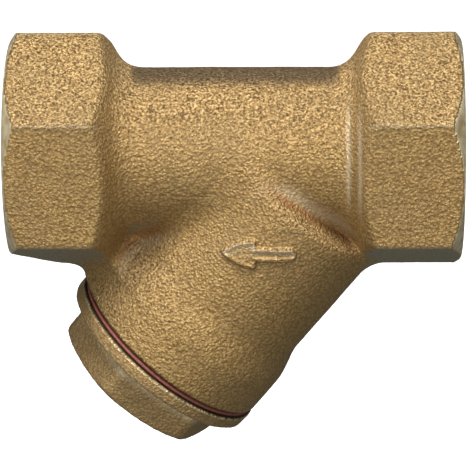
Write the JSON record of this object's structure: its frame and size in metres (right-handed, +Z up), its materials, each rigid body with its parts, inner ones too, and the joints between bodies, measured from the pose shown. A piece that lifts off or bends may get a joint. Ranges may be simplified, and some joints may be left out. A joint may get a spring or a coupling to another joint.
{
  "type": "y strainer",
  "caption": "Cast bronze Y strainer with hexagonal threaded ports, a flow arrow and a screwed cap that draws out a double screen.",
  "frame": {"origin": "centre of the inlet port's face, on the run axis", "axes": "+X out of the inlet along the run axis, +Z up, the screen branch leans down and towards the outlet in the XZ plane"},
  "size_m": [0.07, 0.0344, 0.0675],
  "materials": {
    "cast_bronze": "sand cast, matt",
    "cap_bronze": "sand cast, matt, turned flange",
    "gasket_fibre": "matt pressed fibre",
    "perforated_steel": "rolled sheet",
    "woven_steel": "woven wire",
    "pressed_steel": "pressed sheet"
  },
  "bodies": {
    "body": {"body": "cast_bronze"},
    "screen_set": {"cap_gasket": "gasket_fibre", "screen_support": "perforated_steel", "fine_mesh": "woven_steel", "screen_upper_ring": "pressed_steel", "screen_lower_ring": "pressed_steel"},
    "cap": {"cap": "cap_bronze"}
  },
  "joints": [
    {"name": "screen_travel", "type": "slide", "parent": "body", "child": "screen_set", "axis": [-0.6293, 0, -0.7771], "range_m": [0, 0.0341]},
    {"name": "cap_turn", "type": "hinge", "parent": "screen_set", "child": "cap", "pos_m": [-0.0192, 0, 0], "axis": [-0.6293, 0, -0.7771], "range_deg": [0, 6120]}
  ],
  "couplings": [
    {"joint": "screen_travel", "follows": "cap_turn", "m_per_rad": 0.00031831}
  ]
}
